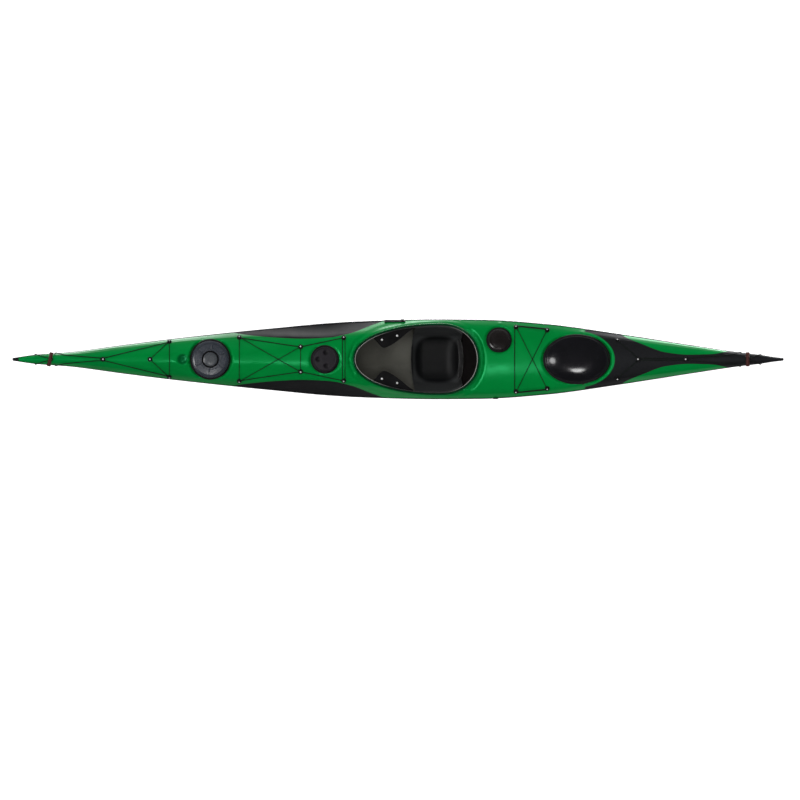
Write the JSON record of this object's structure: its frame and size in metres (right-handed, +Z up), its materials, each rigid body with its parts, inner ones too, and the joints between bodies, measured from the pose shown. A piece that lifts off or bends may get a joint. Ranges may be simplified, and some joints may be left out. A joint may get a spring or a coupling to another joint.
{
  "type": "sea kayak",
  "caption": "Single-seat sea kayak: long slim hull and deck with a keyhole cockpit, round and oval hatches, deck lines, end toggles and a drop-down skeg.",
  "frame": {"origin": "on the flat of the keel, amidships (half way along the boat), on the middle line", "axes": "+X to the stern, +Y to starboard, +Z up"},
  "size_m": [5.3, 0.5538, 0.6163],
  "materials": {
    "hull": "gloss white moulding",
    "deck": "gloss green moulding with black panels",
    "seam": "satin black strip",
    "inner": "matt grey laminate",
    "moulded_black": "moulded black, fine grain",
    "pad": "black padded fabric",
    "hatch_rubber": "dark blue-grey rubber",
    "day_rubber": "brown-black rubber",
    "rail_metal": "brushed",
    "skeg": "satin black",
    "steel": "satin",
    "toggle": "dark red-brown moulding",
    "cord": "braided black cord"
  },
  "bodies": {
    "boat": {"aft_bungee": "cord", "aft_cross_line": "cord", "bow_bungee": "cord", "bow_deck_line": "cord", "cockpit_coaming": "deck", "day_bulkhead": "inner", "day_hatch_rim": "moulded_black", "deck_fitting_a": "moulded_black", "deck_fitting_b_port": "moulded_black", "deck_fitting_b_starboard": "moulded_black", "deck_fitting_c": "moulded_black", "deck_fitting_d_port": "moulded_black", "deck_fitting_d_starboard": "moulded_black", "deck_fitting_e_port": "moulded_black", "deck_fitting_e_starboard": "moulded_black", "deck_fitting_f_port": "moulded_black", "deck_fitting_f_starboard": "moulded_black", "deck_fitting_g_port": "moulded_black", "deck_fitting_g_starboard": "moulded_black", "deck_fitting_h_port": "moulded_black", "deck_fitting_h_starboard": "moulded_black", "deck_fitting_i_port": "moulded_black", "deck_fitting_i_starboard": "moulded_black", "deck_fitting_j": "moulded_black", "deck_fitting_k": "moulded_black", "deck_shell": "deck", "footbrace_rail_port": "rail_metal", "footbrace_rail_starboard": "rail_metal", "foredeck_bungee": "cord", "foredeck_deck_line": "cord", "front_bulkhead": "inner", "front_cross_bungee": "cord", "front_hatch_rim": "moulded_black", "hull_shell": "hull", "pod_hatch_cup": "moulded_black", "rear_bulkhead": "inner", "rear_hatch_rim": "moulded_black", "seam_band": "seam", "seat_pan": "moulded_black", "side_plug": "moulded_black", "skeg_box": "skeg", "skeg_cable_tube": "moulded_black", "skeg_pivot_pin": "steel", "skeg_slider_track": "moulded_black", "stern_deck_line": "cord", "thigh_brace_port": "moulded_black", "thigh_brace_starboard": "moulded_black"},
    "front_cover": {"front_hatch_cover": "hatch_rubber"},
    "pod_cover": {"pod_hatch_cover": "hatch_rubber"},
    "day_cover": {"day_hatch_cover": "day_rubber"},
    "rear_cover": {"rear_hatch_cover": "hatch_rubber"},
    "pedal_starboard": {"foot_pedal_starboard": "moulded_black"},
    "pedal_port": {"foot_pedal_port": "moulded_black"},
    "bow_handle": {"bow_toggle": "toggle", "bow_toggle_loop": "cord"},
    "stern_handle": {"stern_toggle": "toggle", "stern_toggle_loop": "cord"},
    "skeg": {"skeg_blade": "skeg"},
    "slider": {"skeg_slider_knob": "moulded_black"},
    "back_support": {"backband": "pad"}
  },
  "joints": [
    {"name": "front_hatch_lift", "type": "slide", "parent": "boat", "child": "front_cover", "axis": [0, 0, 1], "range_m": [0, 0.06]},
    {"name": "pod_hatch_lift", "type": "slide", "parent": "boat", "child": "pod_cover", "axis": [0, 0, 1], "range_m": [0, 0.06]},
    {"name": "day_hatch_lift", "type": "slide", "parent": "boat", "child": "day_cover", "axis": [0, 0.2079, 0.9781], "range_m": [0, 0.06]},
    {"name": "rear_hatch_lift", "type": "slide", "parent": "boat", "child": "rear_cover", "axis": [0, 0, 1], "range_m": [0, 0.06]},
    {"name": "pedal_starboard_slide", "type": "slide", "parent": "boat", "child": "pedal_starboard", "axis": [0.9921, 0.1253, 0], "range_m": [-0.1, 0.15]},
    {"name": "pedal_port_slide", "type": "slide", "parent": "boat", "child": "pedal_port", "axis": [0.9921, -0.1253, 0], "range_m": [-0.1, 0.15]},
    {"name": "bow_toggle_swing", "type": "hinge", "parent": "boat", "child": "bow_handle", "pos_m": [-2.494, 0, 0.406], "axis": [0, -1, 0], "range_deg": [0, 100]},
    {"name": "stern_toggle_swing", "type": "hinge", "parent": "boat", "child": "stern_handle", "pos_m": [2.494, 0, 0.351], "axis": [0, 1, 0], "range_deg": [0, 100]},
    {"name": "skeg_hinge", "type": "hinge", "parent": "boat", "child": "skeg", "pos_m": [1.668, 0, 0.092], "axis": [0, -1, 0], "range_deg": [0, 56]},
    {"name": "skeg_slider_slide", "type": "slide", "parent": "boat", "child": "slider", "axis": [-1, 0, 0], "range_m": [0, 0.1]},
    {"name": "backband_recline", "type": "hinge", "parent": "boat", "child": "back_support", "pos_m": [0.434, 0, 0.1192], "axis": [0, 1, 0], "range_deg": [0, 25]}
  ],
  "couplings": [
    {"joint": "skeg_slider_slide", "follows": "skeg_hinge", "m_per_rad": 0.102}
  ]
}
